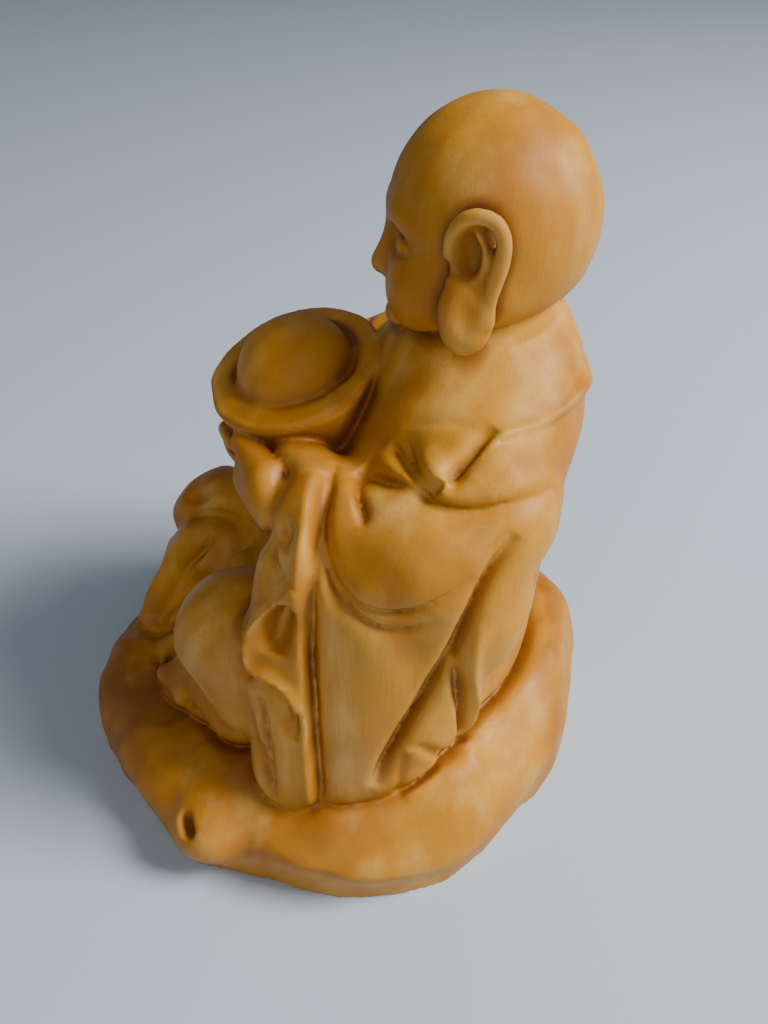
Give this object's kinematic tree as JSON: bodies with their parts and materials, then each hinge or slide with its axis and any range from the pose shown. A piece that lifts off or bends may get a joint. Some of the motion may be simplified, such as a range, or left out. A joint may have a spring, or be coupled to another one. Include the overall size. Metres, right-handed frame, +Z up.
{
  "type": "wooden buddha figure",
  "caption": "Small boxwood carving of a bald robed monk seated on a rock, holding a round domed vessel in both hands, one solid piece that stands on its flat underside.",
  "frame": {"origin": "middle of the bounding box in plan, at the level of the flat underside", "axes": "+Z up; the figure faces -Y; +X is the figure's own left side"},
  "size_m": [0.0606, 0.0652, 0.0799],
  "materials": {
    "boxwood": "hand-carved boxwood, smoothly scraped and lightly oiled, satin"
  },
  "bodies": {
    "root": {"seated_figure": "boxwood"}
  },
  "joints": []
}
